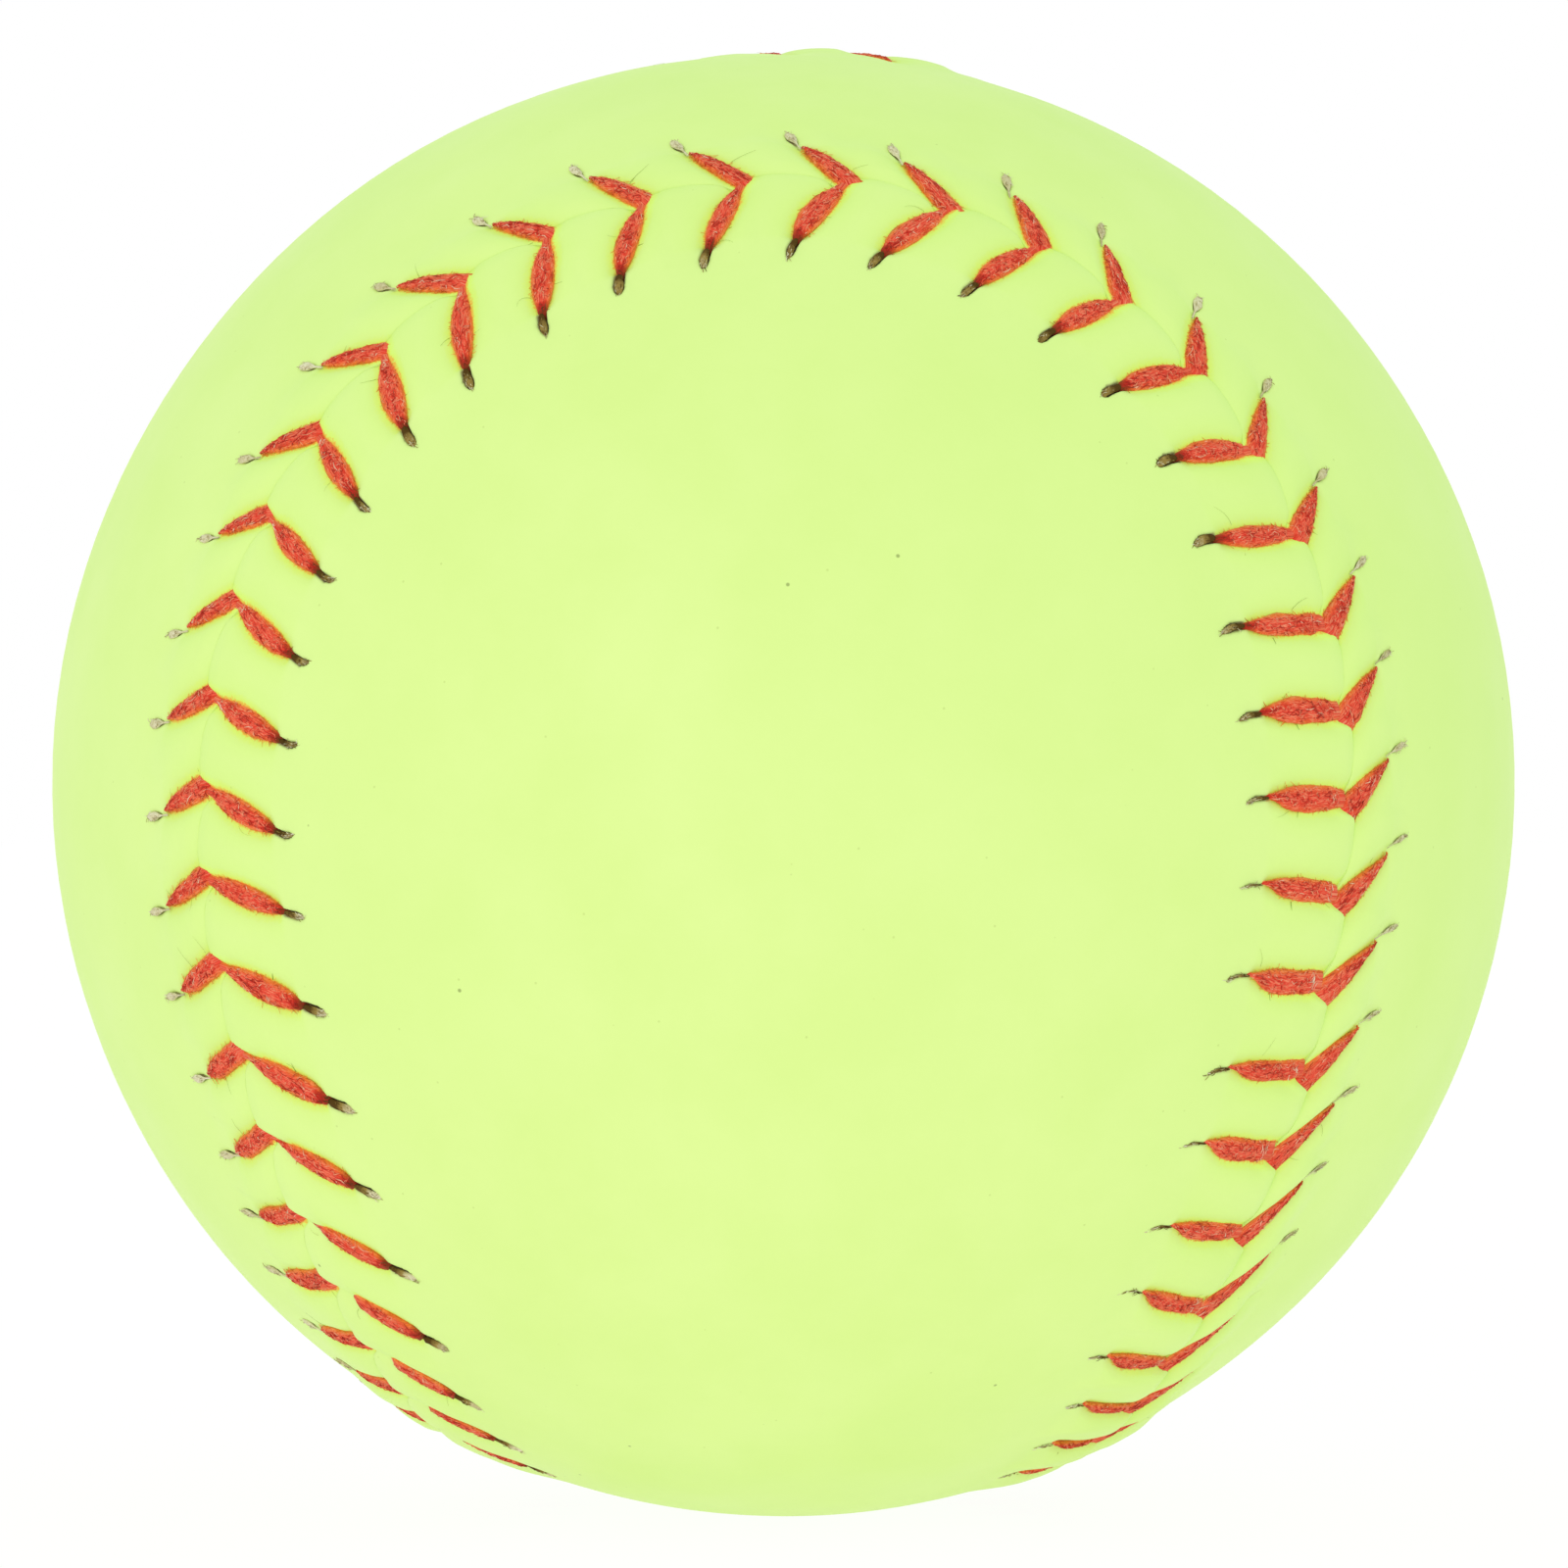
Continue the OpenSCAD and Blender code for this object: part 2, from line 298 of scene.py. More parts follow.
def leg_rise(side, j, share):
    """Height of a leg's middle over the ball."""
    rise = through(LEG_RISE[side], share) - LEG_CALM * local(CALM, j)
    return rise - LEG_SUNK * SUNK[j] * smooth(0.74, 0.9, share) if side < 0 else rise


def leg_half(side, j, share):
    """Half the width of a leg."""
    half = through(LEG_HALF[side], share) * FAT[side][j]
    if side < 0:
        half = half + HEAVY[j] * (0.12 * (1 - smooth(0.3, 0.55, share)) - 0.16 * smooth(0.55, 0.85, share))
        half = half * (1 - 0.55 * SLIT[j] * (1 - smooth(0.15, 0.36, share)))
        return half + BLUNT[j] * smooth(0.72, 0.97, share)
    half = half + HEAVY[j] * 0.2 * smooth(0.19, 0.28, share) * (1 - smooth(0.5, 0.8, share))
    by_joint = 0.24 * smooth(0.45, 0.85, share)
    by_hole = 0.08 * smooth(0.2, 0.3, share) * (1 - smooth(0.45, 0.6, share))
    return half + PULLED[j] * (by_joint - by_hole)


def leg_dir(side, j):
    """Unit direction of a leg from its hole to the joint, (run, across), and the leg's length."""
    d = np.stack([END_RUN[side][j] - HOLE_RUN[side][j], END_ACROSS[side][j] - HOLE_ACROSS[side][j]], -1)
    n = np.linalg.norm(d, axis=-1)
    return d / n[..., None], n


# The needle holes: lengths from the middle of a hole, out to its far end or in towards the joint
HOLE_SLANT = {1: 0.27, -1: 0.05}  # radians that it leans from its leg to straight across
HOLE_LONG = {1: 0.85, -1: 0.90}
HOLE_HALF = {1: 0.27, -1: 0.32}
NECK_HALF = {1: 0.05, -1: 0.30}
NECK_END = {1: 1.5, -1: 1.2}
PIT_DEPTH = {1: 0.12, -1: 0.36}
# how far the colour of a hole goes towards its painted shade
PIT_SHADE = {1: 0.40, -1: 1.0}


def hole_axis(side, j):
    """Unit direction of hole j towards the joint, along the seam and across it."""
    d, _ = leg_dir(side, j)
    c, s = math.cos(HOLE_SLANT[side]), math.sin(HOLE_SLANT[side]) * side
    return d[..., 0] * c + d[..., 1] * s, d[..., 1] * c - d[..., 0] * s


def hole_at(side, j, x, y):
    """Depth in hole j, 0 to 1, and mm along and across it, at x and y from it on the seam's axes."""
    dx, dy = hole_axis(side, j)
    p = x * dx + y * dy
    q = x * dy - y * dx + side * HOLE_BEND[side][j] * np.clip(-p, 0, None)
    p = np.where(p < 0, p / HOLE_SHORT[side][j], p)
    slot = HOLE_FAT[side][j] * HOLE_HALF[side] * np.clip(1 - (p / HOLE_LONG[side]) ** 2, 0, 1) ** 0.7
    neck = np.where((p > 0) & (p < NECK_END[side]), NECK_HALF[side] * HOLE_FAT[side][j], 0)
    wall = smooth(-0.05, 0.1, np.maximum(slot, neck) - np.abs(q))
    far_end = smooth(-HOLE_LONG[side] - 0.02, -HOLE_LONG[side] + 0.12, p)
    near_end = 1 - smooth(NECK_END[side] - 0.2, NECK_END[side], p)
    return HOLE_OPEN[side][j] * wall * far_end * near_end, p, q


# The panels
COLS = 28  # columns of the mesh in one stitch
CROWD = 0.42  # how far they crowd towards the legs
RIM_GAP = -0.004
SWELL = 0.42  # how far the leather swells between two legs
BED = 0.21  # and how deep a leg lies in it, with more where the cover is calm
BED_CALM = 0.24
DIMPLE = 0.14  # round a hole
RELIEF_END = {1: 6.6, -1: 7.6}  # distance from the joint where all this fades
CORNER_LIFT = {1: 0.10, -1: 0.20}
ROLL_WIDE = 0.26  # the rim rolls down into the joint, more so just after a tip
ROLL_DEEP = 0.022
ROLL_TIP = 0.05
HALO_REACH = 2.0  # mm from a leg over which the leather knows its distance
FAR = 9.0  # mm beyond which a distance doesn't matter


def by_the_legs(side, run, across, u):
    """The gap to the two nearest legs, and how far a point is in their bed, dimple and pit."""
    base = np.floor(u).astype(int)
    near = np.full_like(run, FAR)
    bed, dimple, pit = np.zeros_like(run), np.zeros_like(run), np.zeros_like(run)
    for number in (base, base + 1):
        j = number % STITCHES
        hole, end = HOLE_ACROSS[side][j], END_ACROSS[side][j]
        share = np.clip((across - hole) / (end - hole), -0.6, 1.15)
        centre, _ = leg_line(side, j, share)
        d, _ = leg_dir(side, j)
        gap = np.abs(run - centre - number * PITCH) * np.abs(d[..., 1]) - leg_half(side, j, share)
        live = smooth(LEG_FIRST[side] - 0.09, LEG_FIRST[side] + 0.03, share)
        if side < 0:
            live = live * (1 - 0.8 * SUNK[j] * smooth(0.76, 0.88, share))
        near = np.minimum(near, gap + 3 * (1 - live))
        bed = np.maximum(bed, live * (1 - smooth(-0.1, 1.0, gap)))
        depth, p, q = hole_at(side, j, run - (HOLE_RUN[side][j] + number * PITCH), across - hole)
        pit = np.maximum(pit, depth)
        dimple = np.maximum(dimple, np.exp(-((p - 0.3) / 1.35) ** 2 - (q / 0.95) ** 2))
    return near, bed, dimple, pit


def relief(side, run, across, u):
    """Height of the leather, and what its colour follows: touch, pit, crease, close."""
    inward = side * (across - joint(run))  # distance in from the rim
    near, bed, dimple, pit = by_the_legs(side, run, across, u)
    between = np.sin(math.pi * (u - np.floor(u))) ** 1.2
    more = 1 - 0.95 * local(CALM, u) + local(SWOLLEN, u)
    quiet = 1 - local(QUIET, u)
    slit = cyclic(SLIT, u)
    end = RELIEF_END[side]
    fade = 1 - smooth(end, end + 1, inward)
    swell = smooth(-1.0, 1.3, inward) * (1 - smooth(2.2, end, inward))
    height = SWELL * swell * between * more
    height -= (BED + BED_CALM * local(CALM, u)) * bed * (1 - smooth(end - 1.5, end, inward))
    height -= DIMPLE * dimple
    # the second panel's corner lies over the first one's leg
    w = stitch_at(run)
    w = w - np.floor(w)
    past = w * PITCH
    corner = hill(w, 0.8, 0.06) if side > 0 else hill(np.mod(w + 0.5, 1) - 0.5, -0.05, 0.075)
    roll = quiet * np.clip(1 - inward / ROLL_WIDE, 0, 1) ** 2
    lift = CORNER_LIFT[side] * corner * (1 - smooth(0.4, 1.4, inward))
    height += lift - (ROLL_DEEP + ROLL_TIP * np.exp(-past / 0.8)) * roll
    height -= PIT_DEPTH[side] * pit * (1 - 0.5 * slit)
    touch = (1 - np.clip(near + 0.14 * cyclic(PULLED, u), 0, HALO_REACH) / HALO_REACH) * fade
    # painted shade in the groove of the joint, strongest just after a tip, with a second rise further on
    strong = 0.03 + 0.85 * np.exp(-past / 0.7) + 0.4 * hill(past, 4.4, 0.6)
    crease_shade = quiet * np.exp(-np.clip(inward, 0, FAR) / 0.08) * strong
    # painted shade beside the legs: the leather turns a deeper green towards them, as in the valleys between
    # them; the same value sets where the leather wrinkles
    shade_and_wrinkles = np.exp(-np.clip(near, 0, FAR) / 0.9) * fade
    # painted shade in the needle holes: how far the colour of a hole darkens, most in the second panel's
    # holes
    shade = PIT_SHADE[side] * (1 - 0.6 * slit) if side < 0 else PIT_SHADE[side]
    return height, touch, pit * shade, crease_shade, shade_and_wrinkles


def unevenness(points):
    """Slow waves of the wound ball below the leather, in mm."""
    x, y, z = (points / MM).T
    first = 0.05 * np.sin(x / 7.1 + 1.3) * np.sin(z / 8.3 + 0.4)
    return first + 0.05 * np.sin(y / 9.7 + 2.1) * np.sin(x / 11.9 + z / 10.3)


# How far the rows of holes and the last row of the mesh lie from the rim
TO_HOLE = {1: 5.3, -1: 7.1}
MARGIN = {1: 10.4, -1: 12.2}
MARGIN_ACROSS = 11.8  # the last row, from the middle of the seam
INNER_ROWS = {1: (0, 0.3, 0.8, 1.6, 3.0, 5.0, 7.5, 10.5), -1: (0, 0.3, 0.8, 1.6, 3.0, 5.0, 7.5, 12.3)}
RUNGS = 24  # steps of the mesh from side to side of a panel's middle
LOBE_TIP = {1: 7 / 8, -1: 1 / 8}  # share of the seam's turn at the tip of a lobe


def row_list(to_hole, outer):
    """Distances from the rim at which rows of the mesh lie, and the row of the holes."""
    rows = [0, 0.03, 0.08, 0.15, 0.24, 0.35, 0.48, 0.63, 0.8, 1.0]
    while rows[-1] < to_hole - 2.0:
        rows.append(rows[-1] + 0.22)
    while rows[-1] < to_hole + 1.3:
        rows.append(rows[-1] + 0.13)
    fine = len(rows)
    step = 0.3
    while rows[-1] < outer:
        rows.append(rows[-1] + step)
        step = min(step * 1.25, 1.3)
    return np.array(rows), fine


def triangles(a, b, c):
    return np.stack([a, b, c, np.full_like(a, -1)], -1)


def band(ring, now, halved):
    """Faces between two neighbouring rows, the second with as many or half as many points."""
    if not halved:
        return [np.stack([ring, np.roll(ring, -1), np.roll(now, -1), now], -1)]
    a0, a1, a2 = ring[0::2], ring[1::2], np.roll(ring[0::2], -1)
    b0, b1 = now, np.roll(now, -1)
    return [triangles(a0, a1, b0), triangles(a1, b1, b0), triangles(a1, a2, b1)]


def middle_of_panel(side, inner, edge, ring, first, start):
    """Rungs from side to side of the rest of a panel: points and faces."""
    n = len(ring)
    half = n // 2
    t = np.arange(1, RUNGS)[:, None] / RUNGS
    k = np.arange(1, half)
    left, right = unit(edge[(first + k) % n]), unit(edge[(first - k) % n])
    angle = np.arccos(np.clip((left * right).sum(-1), -1, 1))[:, None, None]
    angle = np.maximum(angle, 1e-6)
    mid = (np.sin((1 - t) * angle) * left[:, None] + np.sin(t * angle) * right[:, None]) / np.sin(angle)
    flat = (mid * BALL * MM).reshape(-1, 3)
    radius = BALL - LEATHER if inner else (BALL + unevenness(flat))[:, None]
    points = flat / (BALL * MM) * (radius * MM)
    inside = start + np.arange((half - 1) * (RUNGS - 1)).reshape(half - 1, RUNGS - 1)
    rungs = np.concatenate([ring[(first + k) % n][:, None], inside, ring[(first - k) % n][:, None]], 1)
    a, b = rungs[:-1], rungs[1:]
    faces = [np.stack([a[:, :-1], b[:, :-1], b[:, 1:], a[:, 1:]], -1).reshape(-1, 4)]
    faces.append(triangles(np.full(RUNGS, ring[first]), rungs[0][:-1], rungs[0][1:]))
    faces.append(triangles(np.full(RUNGS, ring[(first + half) % n]), rungs[-1][1:], rungs[-1][:-1]))
    return points, faces


def sheet(side, inner):
    """One face of a panel, its rim first: points, faces and what its colour follows."""
    to_hole = TO_HOLE[side]
    rows, fine = (np.array(INNER_ROWS[side]), 1) if inner else row_list(to_hole, MARGIN[side])
    last = rows[-1]
    g = np.arange(STITCHES * COLS) / COLS
    u = g - CROWD * np.sin(FULL * g) / FULL
    rim_run = u * PITCH + cyclic(END_RUN[side], u)
    hole_run = u * PITCH + cyclic(HOLE_RUN[side], u)
    even_run = g * PITCH + HOLE_RUN[side].mean()
    rim = joint(rim_run) + side * RIM_GAP
    hole = cyclic(HOLE_ACROSS[side], u)
    points, facts, faces, ring, start, stride = [], [], [], [], 0, 1
    for k, v in enumerate(rows):
        new = stride * 2 if k >= fine and stride < 8 else stride
        pick = slice(None, None, new)
        n = STITCHES * COLS // new
        if v <= to_hole:
            f = v / to_hole
            run = rim_run[pick] + (hole_run - rim_run)[pick] * f
            across = rim[pick] + (hole - rim)[pick] * f
        else:
            f = (v - to_hole) / (last - to_hole)
            run = hole_run[pick] + (even_run - hole_run)[pick] * (f * f * (3 - 2 * f))
            across = hole[pick] + (side * MARGIN_ACROSS - hole[pick]) * f
        if inner:
            points.append(place(run, across, np.full(n, -LEATHER)))
            facts.append(np.zeros((n, 7)))
        else:
            height, touch, pit, crease_shade, shade_and_wrinkles = relief(side, run, across, u[pick])
            height = height * (1 - smooth(last - 2, last, v)) if v > last - 2 else height
            pts = place(run, across, height)
            points.append(pts * (1 + unevenness(pts) / BALL)[:, None])
            facts.append(np.stack([touch, pit, crease_shade, shade_and_wrinkles, run * MM, across * MM, 0 * run], -1))
        now = start + np.arange(n)
        if k:
            faces += band(ring, now, new != stride)
        ring, stride = now, new
        start += n
    tip_run = np.interp(FULL * LOBE_TIP[side], TURNS, RUN)
    first = int(round(((tip_run - even_run[0]) % SEAM) / SEAM * n)) % n
    middle, rungs = middle_of_panel(side, inner, points[-1], ring, first, start)
    points, faces = np.concatenate([*points, middle]), np.concatenate([*faces, *rungs])
    return points, faces, np.concatenate([*facts, np.zeros((len(middle), 7))])


def normals(points, faces):
    p = points[faces[:, :3]]
    return np.cross(p[:, 1] - p[:, 0], p[:, 2] - p[:, 0])


def outward(points, faces, sign):
    """Turns faces so that they look out of the ball (sign 1) or into it (-1)."""
    wrong = (normals(points, faces) * points[faces[:, :3]].mean(1)).sum(-1) * sign < 0
    quad = faces[:, 3] >= 0
    for kind, order in ((quad, [3, 2, 1, 0]), (~quad, [0, 2, 1, 3])):
        faces[wrong & kind] = faces[wrong & kind][:, order]
    return faces


def make_mesh(name, points, faces, facts):
    """A mesh object from points, faces of three (last entry -1) or four corners, and point values."""
    mesh = bpy.data.meshes.new(name)
    corners = (faces >= 0).sum(1)
    loops = faces[faces >= 0]
    starts = np.cumsum(corners) - corners
    mesh.vertices.add(len(points))
    mesh.vertices.foreach_set("co", points.astype(np.float32).ravel())
    mesh.loops.add(len(loops))
    mesh.loops.foreach_set("vertex_index", loops.astype(np.int32))
    mesh.polygons.add(len(faces))
    mesh.polygons.foreach_set("loop_start", starts.astype(np.int32))
    mesh.update(calc_edges=True)
    mesh.validate()
    mesh.shade_smooth()
    for key, values in facts.items():
        kind, entry = ("FLOAT", "value") if values.ndim == 1 else ("FLOAT_VECTOR", "vector")
        attribute = mesh.attributes.new(key, kind, "POINT")
        attribute.data.foreach_set(entry, values.astype(np.float32).ravel())
    obj = bpy.data.objects.new(name, mesh)
    bpy.context.scene.collection.objects.link(obj)
    return obj


def panel(name, side):
    top, top_faces, facts = sheet(side, False)
    low, low_faces, low_facts = sheet(side, True)
    top_faces, low_faces = outward(top, top_faces, 1), outward(low, low_faces, -1)
    low_faces = np.where(low_faces >= 0, low_faces + len(top), -1)
    n = STITCHES * COLS
    a, b = np.arange(n), np.arange(n) + len(top)
    wall = np.stack([a, b, np.roll(b, -1), np.roll(a, -1)], -1)
    # the wall looks away from the panel: from its fourth row to the rim
    points = np.concatenate([top, low])
    away = points[a] - top[n * 3 + a]
    if (normals(points, wall) * away).sum(-1).mean() < 0:
        wall = wall[:, ::-1]
    facts = np.concatenate([facts, low_facts])
    values = dict(zip(("touch", "pit", "crease_shade", "shade_and_wrinkles"), facts.T), along=facts[:, 4:])
    return make_mesh(name, points, np.concatenate([top_faces, low_faces, wall]), values)


# Threads
UNDER = -1.85  # height of a thread where it runs below the leather
RING = 14  # points round a thread
ALONG_LEG = 17  # rings along a leg
# Rings where it comes up through a hole: mm before the leg, height, half width and thickness alike
RISING = ((0.5, UNDER, 0.34), (0.46, -1.2, 0.24), (0.3, -0.6, 0.14))
# and where it goes down the joint: mm past the leg, height, share of its width, half thickness
SINKING = ((0.35, -0.14, 0.94, 0.26), (0.75, -0.6, 0.75, 0.3), (1.15, -1.2, 0.6, 0.34),
           (1.9, UNDER, 0.5, 0.36))
LEAST_HALF = 0.34
SIDES = 3


def tubes(points, radius):
    """Thin closed tubes: points (count, n, 3) and radius (count, n), in metres."""
    count, n, _ = points.shape
    tangent = unit(np.gradient(points, axis=1))
    out = unit(points)
    side = unit(np.cross(tangent, out) + 1e-9)
    up = np.cross(side, tangent)
    a = FULL * np.arange(SIDES)[:, None] / SIDES
    ring = np.cos(a) * side[:, :, None] + np.sin(a) * up[:, :, None]
    verts = (points[:, :, None] + ring * radius[:, :, None, None]).reshape(-1, 3)
    faces = lofts(count, n, SIDES)
    begin = np.arange(count) * n * SIDES
    end = begin + (n - 1) * SIDES
    caps = [triangles(begin, begin + 2, begin + 1), triangles(end, end + 1, end + 2)]
    return verts, np.concatenate([faces, *caps])


def lofts(count, rings, sides):
    """Side faces of count tubes with so many rings and sides each."""
    base = (np.arange(count) * rings * sides)[:, None, None] + np.arange(rings - 1)[:, None] * sides
    k = base + np.arange(sides)
    m = base + (np.arange(sides) + 1) % sides
    return np.stack([k, m, m + sides, k + sides], -1).reshape(-1, 4)


def legs_of(which):
    """Numbers and sides of the legs that one thread makes."""
    return NUMBER, np.where((NUMBER + which) % 2 == 0, 1, -1)


def by_side(side, values):
    """The value of each leg's own side."""
    return np.where(side > 0, values[1], values[-1])


def table_half(side, share):
    """Half width of a plain leg."""
    return np.where(side > 0, through(LEG_HALF[1], share), through(LEG_HALF[-1], share))


def on_leg(side, j, share, y, lift):
    """Points on top of legs: share of the way along, y from edge to edge (-1..1), lift over it."""
    run, across, half, rise, thick, px, py = (np.zeros_like(share) for _ in range(7))
    for s in (1, -1):
        m = side[:, 0] == s
        jj, part = j[m], share[m]
        r, a = leg_line(s, jj, part)
        run[m], across[m] = r + jj * PITCH, a
        half[m] = leg_half(s, jj, part)
        rise[m] = leg_rise(s, jj, part)
        thick[m] = through(LEG_THICK[s], part)
        d, _ = leg_dir(s, jj)
        forward = np.where(d[..., 1] > 0, 1, -1)
        px[m], py[m] = d[..., 1] * forward, -d[..., 0] * forward
    dome = np.sqrt(np.clip(1 - y * y, 0, 1))
    return run + px * y * half, across + py * y * half, rise + thick * dome + lift


def hole_shadow(side, j, share):
    """How far a leg is in the dark of its hole, 0 to 1: a painted shadow, on the second panel's legs only."""
    return np.where(side < 0, 1 - smooth(0.13, 0.29, share), 0.0) * (1 - SLIT[j])


def leg_rings(i, s):
    """Rings of a thread over one leg: run, across, height, half width, half thickness, share."""
    number = np.array(i)
    _, n = leg_dir(s, number)
    begin = LEG_FIRST[s] * n
    rings = []

    def at(dist):
        r, a = leg_line(s, number, dist / n)
        return float(r) + i * PITCH, float(a)

    for back, height, half in RISING:
        rings.append((*at(begin - back), height, half, half, 0.0))
    for share in np.linspace(LEG_FIRST[s], 1.0, ALONG_LEG):
        rise, half = float(leg_rise(s, number, share)), float(leg_half(s, number, share))
        rings.append((*at(share * n), rise, half, through(LEG_THICK[s], share), share))
    half = float(leg_half(s, number, 1.0))
    for ahead, height, share, thick in SINKING:
        dip = LEG_SUNK * SUNK[i] if s < 0 and height > -1 else 0
        rings.append((*at(n + ahead), height - dip, max(half * share, LEAST_HALF), thick, 1.0))
    return rings


def thread_body(which):
    """The thread itself: one closed loop through every second hole of both rows."""
    number, sides = legs_of(which)
    rows = np.array([ring for i, s in zip(number, sides) for ring in leg_rings(i, s)])
    run, across, height = rows.T[:3]
    half, thick, share = rows.T[3:, :, None]
    centre = place(run, across, height)
    ahead = place(run + 0.05, across, height) - centre
    tangent = unit(np.roll(centre, -1, 0) - np.roll(centre, 1, 0))
    wide = unit(ahead - (ahead * tangent).sum(-1, keepdims=True) * tangent)
    up = np.cross(tangent, wide)
    n = len(rows)
    a = FULL * np.arange(RING) / RING
    noise = np.random.default_rng(40 + which).normal(0, 1, (n, RING))
    noise = (noise + np.roll(noise, 1, 0) + np.roll(noise, -1, 0)) / 3
    ripple = 1 + 0.09 * noise + 0.03 * np.cos(5 * a + 3.0 * share * 2)
    sideways = np.cos(a)[:, None] * wide[:, None] * (half * ripple)[..., None]
    upwards = np.sin(a)[:, None] * up[:, None] * (thick * ripple)[..., None]
    points = (centre[:, None] + (sideways + upwards) * MM).reshape(-1, 3)
    faces = lofts(1, n + 1, RING) % (n * RING)
    # the look follows the thread along and across, from another spot of its pattern for each leg
    per_leg = n // len(number)
    spot = np.arange(n)[:, None] // per_leg * 3.7
    sway = np.stack(np.broadcast_arrays(share * 6.5, np.cos(a) * half, spot), -1).reshape(-1, 3)
    # painted shadow: the thread darkens at a leg's end where it goes into its hole
    dark = hole_shadow(np.repeat(sides, per_leg)[:, None], np.repeat(number, per_leg)[:, None], share)
    under = np.repeat(PULLED, per_leg)[:, None] * (np.cos(a) > 0)
    edge = np.abs(np.cos(a)) ** 4 * (1 - 0.6 * under) * (1 - dark)
    return points, faces, np.repeat(0.5 - 1.4 * dark, RING), edge.ravel(), sway


def hair_legs(which, per_leg):
    """For each hair, in a column: its leg's number, its side and the share at which the leg starts."""
    number, sides = legs_of(which)
    j, side = np.repeat(number, per_leg)[:, None], np.repeat(sides, per_leg)[:, None]
    return j.shape, j, side, by_side(side, LEG_FIRST)


def fibres(which, per_leg, seed):
    """Fine fibres that lie on the legs: lighter ones across each other over darker ones along."""
    r = np.random.default_rng(seed)
    size, j, side, first = hair_legs(which, per_leg)
    share0 = first + (1.0 - first) * r.uniform(0, 1, size)
    y0 = r.uniform(-0.95, 0.95, size)
    wild = r.uniform(0, 1, size) < 0.62
    angle = np.where(wild, r.choice([-1, 1], size) * r.uniform(0.3, 1.25, size), r.normal(0, 0.2, size))
    long = np.where(wild, r.uniform(0.16, 0.46, size), r.uniform(0.35, 0.95, size))
    part = np.linspace(-0.5, 0.5, 3)
    t = part * long
    curl = r.normal(0, 0.12, size) * (2 * part) ** 2
    share = share0 + t * np.cos(angle) / by_side(side, LEG_LONG)
    share = np.clip(share, first - 0.01, 1.04)
    y = y0 * table_half(side, share0) + t * np.sin(angle) + curl
    y = np.clip(y / table_half(side, share), -1, 1)
    hump = np.where(wild, r.uniform(0.0, 0.055, size), r.uniform(0, 0.03, size)) * (1 - (2 * part) ** 2)
    thick = r.uniform(0.022, 0.038, size) * np.array([0.6, 1.1, 0.6])
    verts, faces = tubes(place(*on_leg(side, j, share, y, 0.01 + hump)), thick * MM)
    tone = np.where(wild, r.normal(0.72, 0.5, size), r.normal(0.35, 0.45, size))
    tone = np.where(r.uniform(0, 1, size) < 0.045, 1.5, np.clip(tone, 0.08, 1.15))
    # some legs of the second panel are pale by the joint
    pale = (np.sin(j * 12.9) > 0.35) & (side < 0)
    tone = tone + np.where(pale, 0.5, 0) * smooth(0.84, 0.94, share0)
    # painted shadow: the fibres darken at a leg's end by its hole
    dark = hole_shadow(side, j, share0)
    tone = tone - r.uniform(0.7, 1.7, size) * dark
    edge = np.abs(y0) ** 6 * 0.5 * (1 - dark)
    return verts, faces, np.repeat(tone, 3 * SIDES), np.repeat(edge, 3 * SIDES)


def fringe(which, per_leg, seed):
    """Hairs that stand out from both edges of the legs."""
    r = np.random.default_rng(seed)
    size, j, side, first = hair_legs(which, per_leg)
    share0 = first + (1.0 - first) * r.uniform(0.02, 1, size)
    hand = r.choice([-1, 1], size)
    long = np.minimum(r.exponential(0.14, size) + 0.08, 0.7)
    lean = r.normal(0.0, 0.8, size)
    t = np.linspace(0, 1, 3)
    share = share0 + t * (long * np.sin(lean)) / LEG_MEAN
    over = t * np.abs(long * np.cos(lean)) / table_half(side, share)
    run, across, _ = on_leg(side, j, share, hand * (0.9 + over), 0)
    _, _, height = on_leg(side, j, share, hand * np.full_like(over, 0.9), 0)
    drop = r.uniform(0.0, 0.2, size) * t
    thick = r.uniform(0.014, 0.024, size) * np.array([1, 0.9, 0.5])
    verts, faces = tubes(place(run, across, height - drop), thick * MM)
    # painted shadow: the hairs darken at a leg's end by its hole
    dark = hole_shadow(side, j, share0)
    edge = np.repeat(np.array([0.9, 1.3, 1.7]) * (1 - dark), SIDES)
    return verts, faces, np.repeat(r.uniform(0.3, 1.0, size) - 1.4 * dark, 3 * SIDES), edge


def lying(side, j, share, off):
    """Points on the leather beside legs: share of the way along, mm to the side of the middle."""
    points = np.zeros((*share.shape, 3))
    for s in (1, -1):
        m = side[:, 0] == s
        jj = j[m]
        centre, level = leg_line(s, jj, share[m])
        d, _ = leg_dir(s, jj)
        run = centre + jj * PITCH + off[m] * np.abs(d[..., 1])
        across = level - off[m] * d[..., 0] * np.sign(d[..., 1])
        height = relief(s, run, across, jj + off[m] / PITCH)[0]
        points[m] = place(run, across, height + 0.015)
    return points


